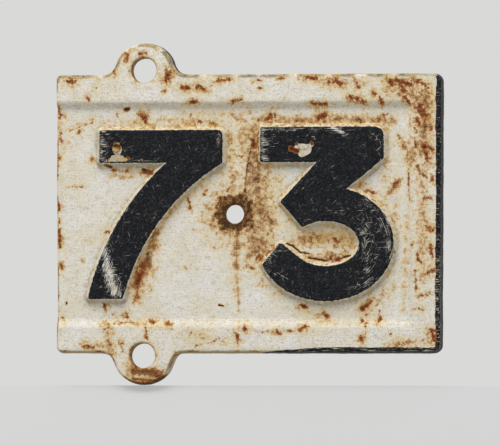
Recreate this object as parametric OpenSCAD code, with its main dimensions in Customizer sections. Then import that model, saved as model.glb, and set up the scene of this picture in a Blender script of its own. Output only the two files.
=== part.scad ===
// Railway mile marker: a cast iron plate with a raised rim on three sides, two bolting
// lugs and two separately cast numerals, each held down by two countersunk rivets.
// The plate stands upright as it does on its post: X across, Z up, the front face
// towards -Y. The origin is the middle of the flat back face.

/* [Plate] */
// Width across the back edges, side to side
plate_w = 356; // [320:1:420]
// Height across the back edges, without the lugs
plate_h = 256; // [236:1:300]
// Thickness of the field behind the numerals
field_t = 11; // [9:0.5:18]
// Spread of each side edge from front to back, so that the casting leaves its mould
draft = 1.1; // [0.4:0.1:2]
// Rounding of the front edges
edge_r = 2.5; // [1:0.25:3]
// Radius of the two left corners, seen from the front
left_corner_r = 5.5; // [5:0.5:15]
// Radius of the two right corners, seen from the front
right_corner_r = 8; // [5:0.5:15]

/* [Rim] */
// Flat width of the rim along the top, the right and the bottom
rim_w = 25; // [16:0.5:26]
// Height of the rim above the field
rim_rise = 5; // [2:0.5:8]
// Width of the slope from the rim down to the field
rim_slope = 5; // [2:0.5:8]
// Radius of the field's inner corners, where the slopes meet
pocket_r = 3; // [1:0.5:8]

/* [Lugs] */
// Distance of the lugs from the middle of the plate, towards the left
lug_offset = 96; // [60:1:115]
// Distance between the bolt holes of the upper and the lower lug
lug_pitch = 260.5; // [236:0.5:320]
// Outer radius of a lug
lug_r = 26.5; // [21:0.5:32]
// Diameter of a lug's bolt hole
lug_hole_d = 23; // [14:0.5:30]
// Width of the bevel round the front of a lug's bolt hole
lug_hole_bevel = 1.5; // [0.5:0.25:3]
// Radius of the fillet between a lug and the plate's edge
lug_fillet_r = 15; // [6:0.5:18]

/* [Centre hole] */
// Diameter of the third bolt hole, between the numerals
centre_hole_d = 17; // [12:0.5:24]
// Distance of that hole from the middle of the plate, towards the left
centre_hole_offset = 12.5; // [4:0.5:16]
// Distance of that hole below the middle of the plate
centre_hole_drop = 1; // [0:0.5:10]

/* [Numerals] */
// Height of the numeral faces above the field
numeral_rise = 6; // [3:0.5:9]
// Width of the sloped side between a numeral's face and its foot
numeral_slope = 4; // [2:0.5:6]
// Small rounding of the corners of a numeral's face
numeral_corner_r = 1.5; // [0.5:0.25:2.5]

/* [Numeral seven] */
// Left end of the seven's bar, from the middle of the plate
seven_left = -136.4; // [-142:0.1:-130]
// Right end of the seven's bar, from the middle of the plate
seven_right = -23.3; // [-40:0.1:-22]
// Top of the seven, above the middle of the plate
seven_top = 75.3; // [68:0.1:84]
// Foot of the seven, below the middle of the plate
seven_foot = 78.4; // [70:0.1:84]
// Depth of the seven's bar
seven_bar = 29.5; // [22:0.5:36]
// Width of the seven's curved stem
seven_stem = 31; // [20:0.5:36]
// Radius of the stem's right edge, which would meet the top of the bar if it went on
seven_curve_r = 203; // [190:1:230]
// Distance from the bar's right end to the centre of that curve
seven_curve_reach = 105.8; // [96:0.1:112]
// Radius of the seven's top right corner
seven_shoulder_r = 5; // [2:0.5:10]

/* [Numeral three] */
// Left end of the three's bar, from the middle of the plate
three_left = 11.8; // [10:0.1:20]
// Right end of the three's bar, from the middle of the plate
three_right = 124.5; // [118:0.1:130]
// Top of the three, above the middle of the plate
three_top = 77.8; // [70:0.1:84]
// Depth of the three's bar
three_bar = 31.7; // [24:0.1:36]
// Distance from the middle of the plate to the middle of the bowl
bowl_x = 72; // [68:0.5:75]
// Distance of the bowl's middle below the middle of the plate
bowl_drop = 28.4; // [22:0.1:32]
// Half width of the bowl
bowl_half_w = 62.1; // [56:0.1:66]
// Half height of the bowl
bowl_half_h = 52.1; // [46:0.1:56]
// Width of the bowl's stroke
bowl_stroke = 31.3; // [24:0.1:36]
// Width of the diagonal between the bar and the bowl
diagonal_w = 30.9; // [24:0.1:34]
// Radius of the three's top right corner
three_shoulder_r = 8; // [2:0.5:14]
// How far above the bar's underside its right end stops
three_shoulder_lift = 3; // [1:0.5:6]
// Slope of the diagonal's left side, from level
diagonal_slope = 47; // [44:0.5:50]
// Slope of the throat, from the bar's right end down to the bowl, from level
throat_slope = 39; // [36:0.5:42]
// Direction of the diagonal's cut lower end, from level
diagonal_cut = 131.3; // [128:0.1:136]
// Half of the counter's mouth, as an angle on the counter's oval
mouth_half_angle = 46.5; // [42:0.5:50]
// Direction of the bowl's lower left tip, from the bowl's middle, below the left
tip_angle = 21.3; // [18:0.1:25]
// Distance of the terminal's upper corner to the left of the bowl's middle
terminal_reach = 41.3; // [38:0.1:44]
// Height of the terminal's upper corner above the bowl's middle
terminal_lift = 0.7; // [0:0.1:2]

/* [Rivets] */
// Distance of the seven's lower rivet below the middle of the plate
seven_rivet_drop = 54.9; // [48:0.1:60]
// Distance of the three's upper rivet from the left end of the three's bar
three_rivet_reach = 39.7; // [30:0.1:60]
// Diameter of a rivet's shank
rivet_d = 6.4; // [4:0.1:9]
// Diameter of a rivet's countersunk head and of its hammered tail
rivet_head_d = 11; // [10:0.5:16]
// Play between a rivet's shank and its hole
rivet_play = 0.3; // [0.1:0.05:0.6]

/* [Hidden] */

// Overshoot of a cut past the surface that it leaves by
over = 1;
// Roundness of true arcs and of the rounded corners that are blended together
arc_fn = 96;
hull_fn = 32;
// Steps along the stem, the bowl, the counter and a rounded corner of a numeral
stem_steps = 14;
bowl_steps = 32;
counter_steps = 30;
corner_steps = 4;
// The bowl's last stretch before the throat is straight, over this angle
throat_angle = 10;
// The bowl's outer oval starts this far past its lower left tip
tip_clearance = 6;
half_turn = 180;

rim_t = field_t + rim_rise;
numeral_face = field_t + numeral_rise;
front_w = plate_w - 2 * draft;
front_h = plate_h - 2 * draft;
pocket_right = front_w / 2 - rim_w - rim_slope;
pocket_half_h = front_h / 2 - rim_w - rim_slope;
lug_y = lug_pitch / 2;

// A lug's fillet arc touches the lug's circle and the plate's edge
fillet_y = plate_h / 2 + lug_fillet_r;
fillet_dx = sqrt(pow(lug_r + lug_fillet_r, 2) - pow(fillet_y - lug_y, 2));
// The web between the fillets stops at this share of the way up to where they touch the lug,
// so that it ends in no sliver
web_share = 0.85;
web_top = lug_y + web_share * (fillet_y - lug_y) * lug_r / (lug_r + lug_fillet_r);
web_root = plate_h / 2 - lug_r / 2;

// Centre of the seven's concentric stem curves
seven_curve_x = seven_right + seven_curve_reach;
seven_curve_y = seven_top - seven_curve_r;

// Middle of the three's bowl, and the two ovals that bound its stroke
bowl = [bowl_x, -bowl_drop];
outer_oval = [bowl_half_w, bowl_half_h];
inner_oval = [bowl_half_w - bowl_stroke, bowl_half_h - bowl_stroke];

// The skirt round a numeral laps into its core by this much at the foot
skirt_lap = numeral_corner_r / 2;

// Rivet centres, each on the middle line of its stroke
seven_stem_mid_r = seven_curve_r + seven_stem / 2;
seven_rivet_dy = seven_curve_y + seven_rivet_drop;
seven_rivet_x = seven_curve_x - sqrt(pow(seven_stem_mid_r, 2) - pow(seven_rivet_dy, 2));
RIVETS = [
    [seven_left + seven_bar / 2, seven_top - seven_bar / 2],
    [seven_rivet_x, -seven_rivet_drop],
    [three_left + three_rivet_reach, three_top - three_bar / 2],
    [bowl_x, -bowl_drop - bowl_half_h + bowl_stroke / 2],
];

// Everything is drawn lying on its back, as it is moulded, and then stood up
module upright() {
    rotate([90, 0, 0]) children();
}

// Inset of a cast side edge at angle a of its front rounding, and its height there
function edge_inset(a) = draft + edge_r * (1 - cos(a));
function edge_height(a) = rim_t - edge_r + edge_r * sin(a);

// Solid boss with the cast edge's draft and rounding
module edge_boss(r, fn) {
    rotate_extrude($fn = fn)
        polygon([
            [0, 0],
            [r, 0],
            for (a = [0:15:90]) [r - edge_inset(a), edge_height(a)],
            [0, rim_t],
        ]);
}

// Cutter for an inward arc with the same draft and rounding
module edge_cove(r) {
    flare = edge_inset(90);
    rotate_extrude($fn = arc_fn)
        polygon([
            [0, -over],
            [r, -over],
            [r, 0],
            for (a = [0:15:90]) [r + edge_inset(a), edge_height(a)],
            [r + flare, rim_t + over],
            [0, rim_t + over],
        ]);
}

module plate_blank() {
    left = plate_w / 2 - left_corner_r;
    right = plate_w / 2 - right_corner_r;
    hull() {
        for (side = [-1, 1]) {
            translate([-left, side * (plate_h / 2 - left_corner_r), 0]) edge_boss(left_corner_r, hull_fn);
            translate([right, side * (plate_h / 2 - right_corner_r), 0]) edge_boss(right_corner_r, hull_fn);
        }
    }
}

// One lug above the plate's top edge, with a fillet on each side
module lug() {
    translate([-lug_offset, 0, 0]) {
        translate([0, lug_y, 0]) edge_boss(lug_r, arc_fn);
        difference() {
            translate([-fillet_dx, web_root, 0]) cube([2 * fillet_dx, web_top - web_root, rim_t]);
            for (side = [-1, 1])
                translate([side * fillet_dx, fillet_y, 0]) edge_cove(lug_fillet_r);
        }
    }
}

// The sunk field: sloped at the top, the right and the bottom, and open at the left edge
module field_pocket() {
    rise = rim_rise + over;
    run = rim_slope * rise / rim_rise;
    hull() {
        for (x = [-plate_w, pocket_right - pocket_r], side = [-1, 1])
            translate([x, side * (pocket_half_h - pocket_r), field_t])
                cylinder(h = rise, r1 = pocket_r, r2 = pocket_r + run, $fn = hull_fn);
    }
}

// Bore with a bevelled mouth at the front, for a lug
module lug_bore() {
    r = lug_hole_d / 2;
    translate([0, 0, -over]) cylinder(h = rim_t + 2 * over, r = r, $fn = arc_fn);
    translate([0, 0, rim_t - lug_hole_bevel])
        cylinder(h = lug_hole_bevel + over, r1 = r, r2 = r + lug_hole_bevel + over, $fn = arc_fn);
}

// A rivet lying in its grip: countersunk at both ends, flush with both faces
module rivet_form(play) {
    head_r = rivet_head_d / 2;
    shank_r = (rivet_d + play) / 2;
    sink = head_r - shank_r;
    rotate_extrude($fn = arc_fn)
        polygon([
            [0, 0],
            [head_r, 0],
            [shank_r, sink],
            [shank_r, numeral_face - sink],
            [head_r, numeral_face],
            [0, numeral_face],
        ]);
}

// The hole for that rivet, open at both faces
module rivet_hole() {
    rivet_form(rivet_play);
    translate([0, 0, -over]) cylinder(h = over, d = rivet_head_d, $fn = arc_fn);
    translate([0, 0, numeral_face]) cylinder(h = over, d = rivet_head_d, $fn = arc_fn);
}

module rivet_holes(first, last) {
    for (i = [first:last])
        translate(RIVETS[i]) rivet_hole();
}

module plate() {
    color("#d8d0bc")
    upright() difference() {
        union() {
            plate_blank();
            lug();
            mirror([0, 1, 0]) lug();
        }
        field_pocket();
        for (side = [-1, 1])
            translate([-lug_offset, side * lug_y, 0]) lug_bore();
        translate([-centre_hole_offset, -centre_hole_drop, -over])
            cylinder(h = field_t + 2 * over, d = centre_hole_d, $fn = arc_fn);
        rivet_holes(0, 3);
    }
}

// Points along an oval about c, from one angle to another
function oval_arc(c, half, from, to, steps) = [
    for (i = [0:steps]) let (a = from + (to - from) * i / steps)
        [c.x + half.x * cos(a), c.y + half.y * sin(a), 0]
];

// Angle on an oval where a line from p in direction d first meets it
function oval_hit(c, half, p, d) =
    let (
        u = [(p.x - c.x) / half.x, (p.y - c.y) / half.y],
        v = [d.x / half.x, d.y / half.y],
        b = u * v,
        t = (-b - sqrt(b * b - (v * v) * (u * u - 1))) / (v * v)
    )
    atan2(u.y + t * v.y, u.x + t * v.x);

function flat(p) = [p.x, p.y];
function unit(v) = v / norm(v);
function outward(from, to) = let (d = unit(to - from)) [d.y, -d.x];

// Arc of radius r in the corner p between its two neighbours
function corner_arc(before, p, after, r) =
    let (
        u = unit(before - p),
        v = unit(after - p),
        half = acos(u * v) / 2,
        centre = p + unit(u + v) * r / sin(half),
        start = outward(before, p),
        a0 = atan2(start.y, start.x)
    )
    [for (i = [0:corner_steps]) let (a = a0 + (half_turn - 2 * half) * i / corner_steps)
        centre + r * [cos(a), sin(a)]];

// An outline's points are [x, y, corner radius], anticlockwise; this rounds its corners
function rounded(path) =
    let (n = len(path))
    [for (i = [0:n - 1])
        each path[i].z == 0 ? [flat(path[i])]
            : corner_arc(flat(path[(i + n - 1) % n]), flat(path[i]), flat(path[(i + 1) % n]), path[i].z)];

// The outline moved outwards by a distance, point for point
function swollen(path, distance) =
    let (n = len(path))
    [for (i = [0:n - 1])
        let (
            m = outward(path[(i + n - 1) % n], path[i]),
            k = outward(path[i], path[(i + 1) % n])
        )
        path[i] + distance * (m + k) / (1 + m * k)];

// The wedge of metal all round a numeral's core, from its face down to its wider foot
module sloped_skirt(face) {
    n = len(face);
    polyhedron(
        points = [
            for (p = swollen(face, -skirt_lap)) [p.x, p.y, 0],
            for (p = swollen(face, numeral_slope)) [p.x, p.y, 0],
            for (p = face) [p.x, p.y, numeral_rise],
        ],
        faces = [
            for (i = [0:n - 1]) let (k = (i + 1) % n) each [
                [n + i, n + k, k, i],
                [n + i, 2 * n + i, 2 * n + k, n + k],
                [i, k, 2 * n + k, 2 * n + i],
            ],
        ]
    );
}

// A numeral cast with sloped sides, lying on the field
module raised_numeral(path) {
    face = rounded(path);
    translate([0, 0, field_t]) {
        linear_extrude(numeral_rise) polygon(face);
        sloped_skirt(face);
    }
}

// The seven: a level bar on a stem between two concentric curves
function seven_outline() =
    let (
        c = [seven_curve_x, seven_curve_y],
        right_r = seven_curve_r,
        left_r = seven_curve_r + seven_stem,
        bar_y = seven_top - seven_bar,
        foot_right = half_turn - asin((-seven_foot - c.y) / right_r),
        foot_left = half_turn - asin((-seven_foot - c.y) / left_r),
        bar_end = half_turn - acos((c.x - seven_right) / right_r),
        crook = half_turn - asin((bar_y - c.y) / left_r),
        right_edge = oval_arc(c, [right_r, right_r], foot_right, bar_end, stem_steps),
        left_edge = oval_arc(c, [left_r, left_r], crook, foot_left, stem_steps),
        last = stem_steps
    )
    [
        [right_edge[0].x, right_edge[0].y, numeral_corner_r],
        for (i = [1:last - 1]) right_edge[i],
        [seven_right, right_edge[last].y, numeral_corner_r],
        [seven_right, seven_top, seven_shoulder_r],
        [seven_left, seven_top, numeral_corner_r],
        [seven_left, bar_y, numeral_corner_r],
        for (i = [0:last - 1]) left_edge[i],
        [left_edge[last].x, left_edge[last].y, numeral_corner_r],
    ];

// The three: a level bar, a diagonal with a cut end, and an open oval bowl
function three_outline() =
    let (
        bar_y = three_top - three_bar,
        bar_end = [three_right, bar_y + three_shoulder_lift],
        throat = oval_hit(bowl, outer_oval, bar_end, -[cos(throat_slope), sin(throat_slope)]),
        mouth = half_turn - mouth_half_angle,
        bowl_start = tip_angle + tip_clearance - half_turn,
        counter = oval_arc(bowl, inner_oval, mouth, -mouth, counter_steps),
        heel = counter[0],
        tip = flat(heel) + diagonal_w * [cos(diagonal_cut), sin(diagonal_cut)],
        crook_x = tip.x + (bar_y - tip.y) / tan(diagonal_slope)
    )
    [
        [bowl.x - outer_oval.x * cos(tip_angle), bowl.y - outer_oval.y * sin(tip_angle), numeral_corner_r],
        each oval_arc(bowl, outer_oval, bowl_start, throat - throat_angle, bowl_steps),
        [bowl.x + outer_oval.x * cos(throat), bowl.y + outer_oval.y * sin(throat), 0],
        [bar_end.x, bar_end.y, numeral_corner_r],
        [three_right, three_top, three_shoulder_r],
        [three_left, three_top, numeral_corner_r],
        [three_left, bar_y, numeral_corner_r],
        [crook_x, bar_y, 0],
        [tip.x, tip.y, numeral_corner_r],
        [heel.x, heel.y, numeral_corner_r],
        for (i = [2:counter_steps]) counter[i],
        [bowl.x - terminal_reach, bowl.y + terminal_lift, numeral_corner_r],
    ];

module numeral_seven() {
    color("#17171a")
    upright() difference() {
        raised_numeral(seven_outline());
        rivet_holes(0, 1);
    }
}

module numeral_three() {
    color("#17171a")
    upright() difference() {
        raised_numeral(three_outline());
        rivet_holes(2, 3);
    }
}

module rivet(i) {
    color("#2a2522")
    upright() translate(RIVETS[i]) rivet_form(0);
}

plate();
numeral_seven();
numeral_three();
rivet(0);  // rivet_seven_upper
rivet(1);  // rivet_seven_lower
rivet(2);  // rivet_three_upper
rivet(3);  // rivet_three_lower
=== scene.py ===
import math

import bmesh
import bpy
import numpy as np
from mathutils import Matrix, Vector, noise
from mathutils.geometry import delaunay_2d_cdt
from mathutils.kdtree import KDTree


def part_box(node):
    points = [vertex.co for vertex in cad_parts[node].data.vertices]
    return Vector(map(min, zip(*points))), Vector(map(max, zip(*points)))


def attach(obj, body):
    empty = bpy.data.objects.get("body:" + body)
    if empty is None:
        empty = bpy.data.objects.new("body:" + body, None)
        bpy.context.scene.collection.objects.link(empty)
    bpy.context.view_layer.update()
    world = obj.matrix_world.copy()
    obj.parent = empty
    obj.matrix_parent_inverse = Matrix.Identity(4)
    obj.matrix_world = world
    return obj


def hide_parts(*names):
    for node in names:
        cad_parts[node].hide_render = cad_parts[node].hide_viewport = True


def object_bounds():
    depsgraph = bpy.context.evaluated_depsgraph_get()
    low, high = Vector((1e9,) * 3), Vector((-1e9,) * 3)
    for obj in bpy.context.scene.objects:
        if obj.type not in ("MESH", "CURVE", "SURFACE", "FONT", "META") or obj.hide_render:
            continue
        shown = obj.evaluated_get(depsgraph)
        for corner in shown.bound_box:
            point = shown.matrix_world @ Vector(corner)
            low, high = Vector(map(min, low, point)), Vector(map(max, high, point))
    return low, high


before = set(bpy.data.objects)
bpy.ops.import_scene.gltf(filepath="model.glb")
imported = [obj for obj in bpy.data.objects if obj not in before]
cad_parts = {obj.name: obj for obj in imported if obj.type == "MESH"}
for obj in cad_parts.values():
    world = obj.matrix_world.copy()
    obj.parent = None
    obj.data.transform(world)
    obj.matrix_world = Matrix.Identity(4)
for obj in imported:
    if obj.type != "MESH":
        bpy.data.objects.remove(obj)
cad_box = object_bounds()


# The plate: one grey iron casting out of an open sand mould, with its rim, its two bolting
# lugs and its three bolt holes in one piece. It is brushed over with cream oil paint, coat on
# coat, and with black on the back and, carelessly, on the right and the bottom sides.
rim_height, field_height, plate_half = 16, 11, 128
draft, edge_r = 1.1, 2.5
slope_foot_x, slope_foot_z, slope_corner_r, field_drop = 146.9, 96.9, 3, 1.2
lug_x, lug_z, lug_r, lug_hole_r = -96, 130.25, 26.5, 11.5
centre_hole, centre_hole_r = (-12.5, -1), 8.5
shank_hole_r, rivet_head_r = 3.35, 5.5
edge_step, front_step, back_step = 1.3, 1.3, 3


def cad_outlines(node, height):
    """The closed outlines, in mm and longest first, of a CAD node's flat face that high above the back."""
    shape = bmesh.new()
    shape.from_mesh(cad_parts[node].data)
    bmesh.ops.remove_doubles(shape, verts=shape.verts, dist=1e-6)
    shape.faces.index_update()
    # The faces stay in a list, because a set of them comes in another order each run
    level = [f for f in shape.faces if all(abs(v.co.y * 1000 + height) < 0.01 for v in f.verts)]
    in_level = {f.index for f in level}
    following = {}
    for f in level:
        for corner in f.loops:
            if not any(g.index in in_level for g in corner.edge.link_faces if g != f):
                following[corner.vert.index] = corner.link_loop_next.vert.index
    place = {v.index: (v.co.x * 1000, v.co.z * 1000) for v in shape.verts}
    shape.free()
    outlines = []
    while following:
        first, here = following.popitem()
        loop = [place[first]]
        while here != first:
            loop.append(place[here])
            here = following.pop(here)
        loop = np.array(loop)
        turn = np.roll(loop, -1, 0)
        area = np.sum(loop[:, 0] * turn[:, 1] - turn[:, 0] * loop[:, 1])
        outlines.append(loop if area > 0 else loop[::-1])
    return sorted(outlines, key=lambda p: -np.linalg.norm(np.roll(p, -1, 0) - p, axis=1).sum())


def even_steps(loop, step):
    """The same outline, anticlockwise, with points a step apart, and the way out at each of them."""
    closed = np.vstack([loop, loop[:1]])
    along = np.concatenate([[0], np.cumsum(np.linalg.norm(np.diff(closed, axis=0), axis=1))])
    at = np.linspace(0, along[-1], int(round(along[-1] / step)), endpoint=False)
    points = np.column_stack([np.interp(at, along, closed[:, i]) for i in (0, 1)])
    tangent = np.roll(points, -1, 0) - np.roll(points, 1, 0)
    out = np.column_stack([tangent[:, 1], -tangent[:, 0]])
    return points, out / np.linalg.norm(out, axis=1)[:, None]


def circle(centre, radius, count):
    turn = np.arange(count) * 2 * np.pi / count
    return np.array(centre) + radius * np.column_stack([np.cos(turn), np.sin(turn)])


def nearest(points, to):
    """For each point, the distance to the nearest of some others, and which one that is."""
    tree = KDTree(len(to))
    for i, (x, z) in enumerate(to):
        tree.insert((x, z, 0), i)
    tree.balance()
    found = [tree.find((x, z, 0)) for x, z in points]
    return np.array([f[2] for f in found]), np.array([f[1] for f in found])


def filled(outer, holes, step, extra=None):
    """Points that fill an outline, less its round holes, and the triangles between them."""
    low, high = outer.min(0), outer.max(0)
    rows = []
    for k, z in enumerate(np.arange(low[1], high[1], step * 0.866)):
        x = np.arange(low[0] + k % 2 * step / 2, high[0], step)
        rows.append(np.column_stack([x, np.full(len(x), z)]))
    grid = np.vstack(rows)
    rims = [outer] + [circle(*hole) for hole in holes]
    fixed = np.vstack(rims)
    if extra is not None:
        fixed = np.vstack([fixed, extra[nearest(extra, fixed)[0] > 0.3 * step]])
    points = np.vstack([fixed, grid[nearest(grid, fixed)[0] > 0.6 * step]])
    edges, start = [], 0
    for rim in rims:
        edges += [(start + i, start + (i + 1) % len(rim)) for i in range(len(rim))]
        start += len(rim)
    found, _, triangles, *_ = delaunay_2d_cdt([Vector(p) for p in points], edges, [], 1, 1e-7)
    found, triangles = np.array(found), np.array(triangles)
    middle = found[triangles].mean(1)
    for centre, radius, _ in holes:
        outside = np.linalg.norm(middle - np.array(centre), axis=1) > radius * 0.999
        middle, triangles = middle[outside], triangles[outside]
    return found, triangles


def placed(name, data):
    """A new object with that data, linked into the scene."""
    made = bpy.data.objects.new(name, data)
    bpy.context.scene.collection.objects.link(made)
    return made


def welded(name, patches, strips):
    """One closed mesh, in metres, of filled patches (points, heights, triangles) and of strips of rings."""
    shape = bmesh.new()
    for points, heights, triangles in patches:
        made = {}
        for i in np.unique(triangles):
            made[i] = shape.verts.new((points[i][0] / 1000, -heights[i] / 1000, points[i][1] / 1000))
        for t in triangles:
            shape.faces.new([made[i] for i in t])
    for rings in strips:
        made = [[shape.verts.new((x / 1000, -h / 1000, z / 1000)) for x, z, h in ring] for ring in rings]
        for a, b in zip(made, made[1:]):
            for i in range(len(a)):
                k = (i + 1) % len(a)
                shape.faces.new([a[i], a[k], b[k], b[i]])
    bmesh.ops.remove_doubles(shape, verts=shape.verts, dist=2e-6)
    bmesh.ops.recalc_face_normals(shape, faces=shape.faces)
    bmesh.ops.triangulate(shape, faces=shape.faces)
    mesh = bpy.data.meshes.new(name)
    shape.to_mesh(mesh)
    shape.free()
    mesh.shade_smooth()
    return placed(name, mesh)


def bore(centre, count, profile):
    """Rings round a hole, from front to back, through (radius, height) pairs."""
    return [np.column_stack([circle(centre, r, count), np.full(count, h)]) for r, h in profile]


def places(piece):
    """Where a piece's points are: across and up in mm, and the height above the back."""
    co = np.empty(len(piece.data.vertices) * 3)
    piece.data.vertices.foreach_get("co", co)
    co = co.reshape(-1, 3) * 1000
    return co[:, [0, 2]], -co[:, 1]


def noisy(flat, size, seed=0):
    """A smooth random value from about -0.5 to 0.5 for each point, that changes over so many mm."""
    return np.array([noise.noise(Vector((x / size, seed, z / size))) for x, z in flat])


def rough_cast(piece, bumps, worn_in=0, shift=(0, 0)):
    """Moves points along their normals by bumps of (size, height), and across and up by a shift, in mm."""
    mesh = piece.data
    co, normal = np.empty(len(mesh.vertices) * 3), np.empty(len(mesh.vertices) * 3)
    mesh.vertices.foreach_get("co", co)
    mesh.vertex_normals.foreach_get("vector", normal)
    co, normal = co.reshape(-1, 3), normal.reshape(-1, 3)
    move = np.array([sum(h * noise.noise(Vector(p) * (1000 / s)) for s, h in bumps) for p in co]) - worn_in
    co = co + normal * move[:, None] / 1000
    co[:, [0, 2]] += np.array(shift) / 1000
    mesh.vertices.foreach_set("co", np.clip(co, *cad_box).ravel())
    mesh.update()


def smooth_max(a, b, soft):
    """The higher of two heights, with the corner between them rounded off."""
    return np.maximum(a, b) + np.maximum(soft - np.abs(a - b), 0) ** 2 / (4 * soft)


def front_height(p):
    """Height of the plate's front: the sunk field, the slopes round three sides of it, and the rim."""
    soft = 2.2
    q = np.column_stack([p[:, 0] - slope_foot_x, np.abs(p[:, 1] + field_drop) - slope_foot_z])
    q += slope_corner_r
    beyond = np.linalg.norm(np.maximum(q, 0), axis=1) + np.minimum(q.max(1), 0) - slope_corner_r
    sloped = smooth_max(field_height, field_height + beyond + 0.5 * noisy(p, 26), soft)
    return -smooth_max(-sloped, -rim_height, soft)


def marked(p, strokes):
    """How strongly points lie on strokes (x, z, x, z, half width, strength), in mm: half at their edges."""
    value = np.zeros(len(p))
    for x0, z0, x1, z1, half_width, strength in strokes:
        run = np.array([x1 - x0, z1 - z0])
        share = np.clip((p - (x0, z0)) @ run / max(run @ run, 1e-9), 0, 1)
        distance = np.linalg.norm(p - (x0, z0) - share[:, None] * run, axis=1)
        value = np.maximum(value, strength * np.clip(1 - distance / (2 * half_width), 0, 1))
    return value


def weathered_and_shaded(piece, laid, **marks):
    """Keeps on a piece, for its material, how its paint was laid on, in mm, and where each wear and each
    painted shade lies.
    """
    attribute = piece.data.attributes.new("laid", "FLOAT_VECTOR", "POINT")
    attribute.data.foreach_set("vector", (np.column_stack(laid) / 1000).astype(np.float32).ravel())
    for name, values in marks.items():
        attribute = piece.data.attributes.new(name, "FLOAT", "POINT")
        attribute.data.foreach_set("value", np.asarray(values, dtype=np.float32))


seats = []
for node in ("rivet_seven_upper", "rivet_seven_lower", "rivet_three_upper", "rivet_three_lower"):
    lowest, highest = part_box(node)
    seats.append(((lowest.x + highest.x) * 500, (lowest.z + highest.z) * 500))

edge, _ = even_steps(cad_outlines("plate", 0)[0], edge_step)
# The moulder's fillets at the lugs' roots are tighter than the model's, the lower right one most
off_lug = np.hypot(edge[:, 0] - lug_x, np.abs(edge[:, 1]) - lug_z) - lug_r
off_edge = np.abs(edge[:, 1]) - plate_half
in_fillet = np.maximum(off_lug, 0) * np.maximum(off_edge, 0) / (np.abs(off_lug) + np.abs(off_edge) + 1e-6)
tightness = np.where((edge[:, 0] > lug_x) & (edge[:, 1] < 0), 1.2, 0.6)
tighter = np.minimum(tightness * in_fillet, np.maximum(off_edge, 0))
edge[:, 1] -= np.sign(edge[:, 1]) * tighter
edge, way_out = even_steps(edge, edge_step)
# The plate's side, from the back: a worn arris, the draft, and the round at the front
edge_top = front_height(edge - way_out * (draft + edge_r))
at_back = np.zeros(len(edge))
side = [(0.7, at_back), (0.15, at_back + 0.3)]
for share in (0.1, 0.25, 0.4, 0.55, 0.7, 0.85):
    side.append((draft * share, share * (edge_top - edge_r)))
for turn in np.radians([0, 18, 36, 54, 72, 90]):
    side.append((draft + edge_r * (1 - math.cos(turn)), edge_top - edge_r + edge_r * math.sin(turn)))
side = [np.column_stack([edge - way_out * inset, height]) for inset, height in side]

# The holes' walls, rounded over at the front and countersunk at the back for the rivets
lug_rings = [(lug_hole_r + wider, h) for wider, h in (
    (2.35, 16), (1.45, 15.8), (0.65, 15.2), (0.15, 14.2), (0, 12.8), (0, 10), (0, 7), (0, 4), (0, 1.2),
    (0.15, 0.4), (0.65, 0))]
hole_rings = [(centre_hole_r + wider, h) for wider, h in (
    (1.5, 11), (0.8, 10.8), (0.3, 10.3), (0.05, 9.5), (0, 8), (0, 5.5), (0, 3), (0, 1), (0.2, 0.3),
    (0.6, 0))]
seat_rings = [(shank_hole_r, 11), (shank_hole_r, 7), (shank_hole_r, 2.15), (5.4, 0.3), (5.75, 0)]
bores = [((lug_x, lug_z), 64, lug_rings), ((lug_x, -lug_z), 64, lug_rings), (centre_hole, 48, hole_rings)]
bores += [(seat, 24, seat_rings) for seat in seats]
front, front_triangles = filled(side[-1][:, :2], [(c, rings[0][0], n) for c, n, rings in bores], front_step)
back, back_triangles = filled(side[0][:, :2], [(c, rings[-1][0], n) for c, n, rings in bores], back_step)
plate = welded(
    "plate_casting",
    [(front, front_height(front), front_triangles), (back, np.zeros(len(back)), back_triangles)],
    [side] + [bore(*b) for b in bores],
)

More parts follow.
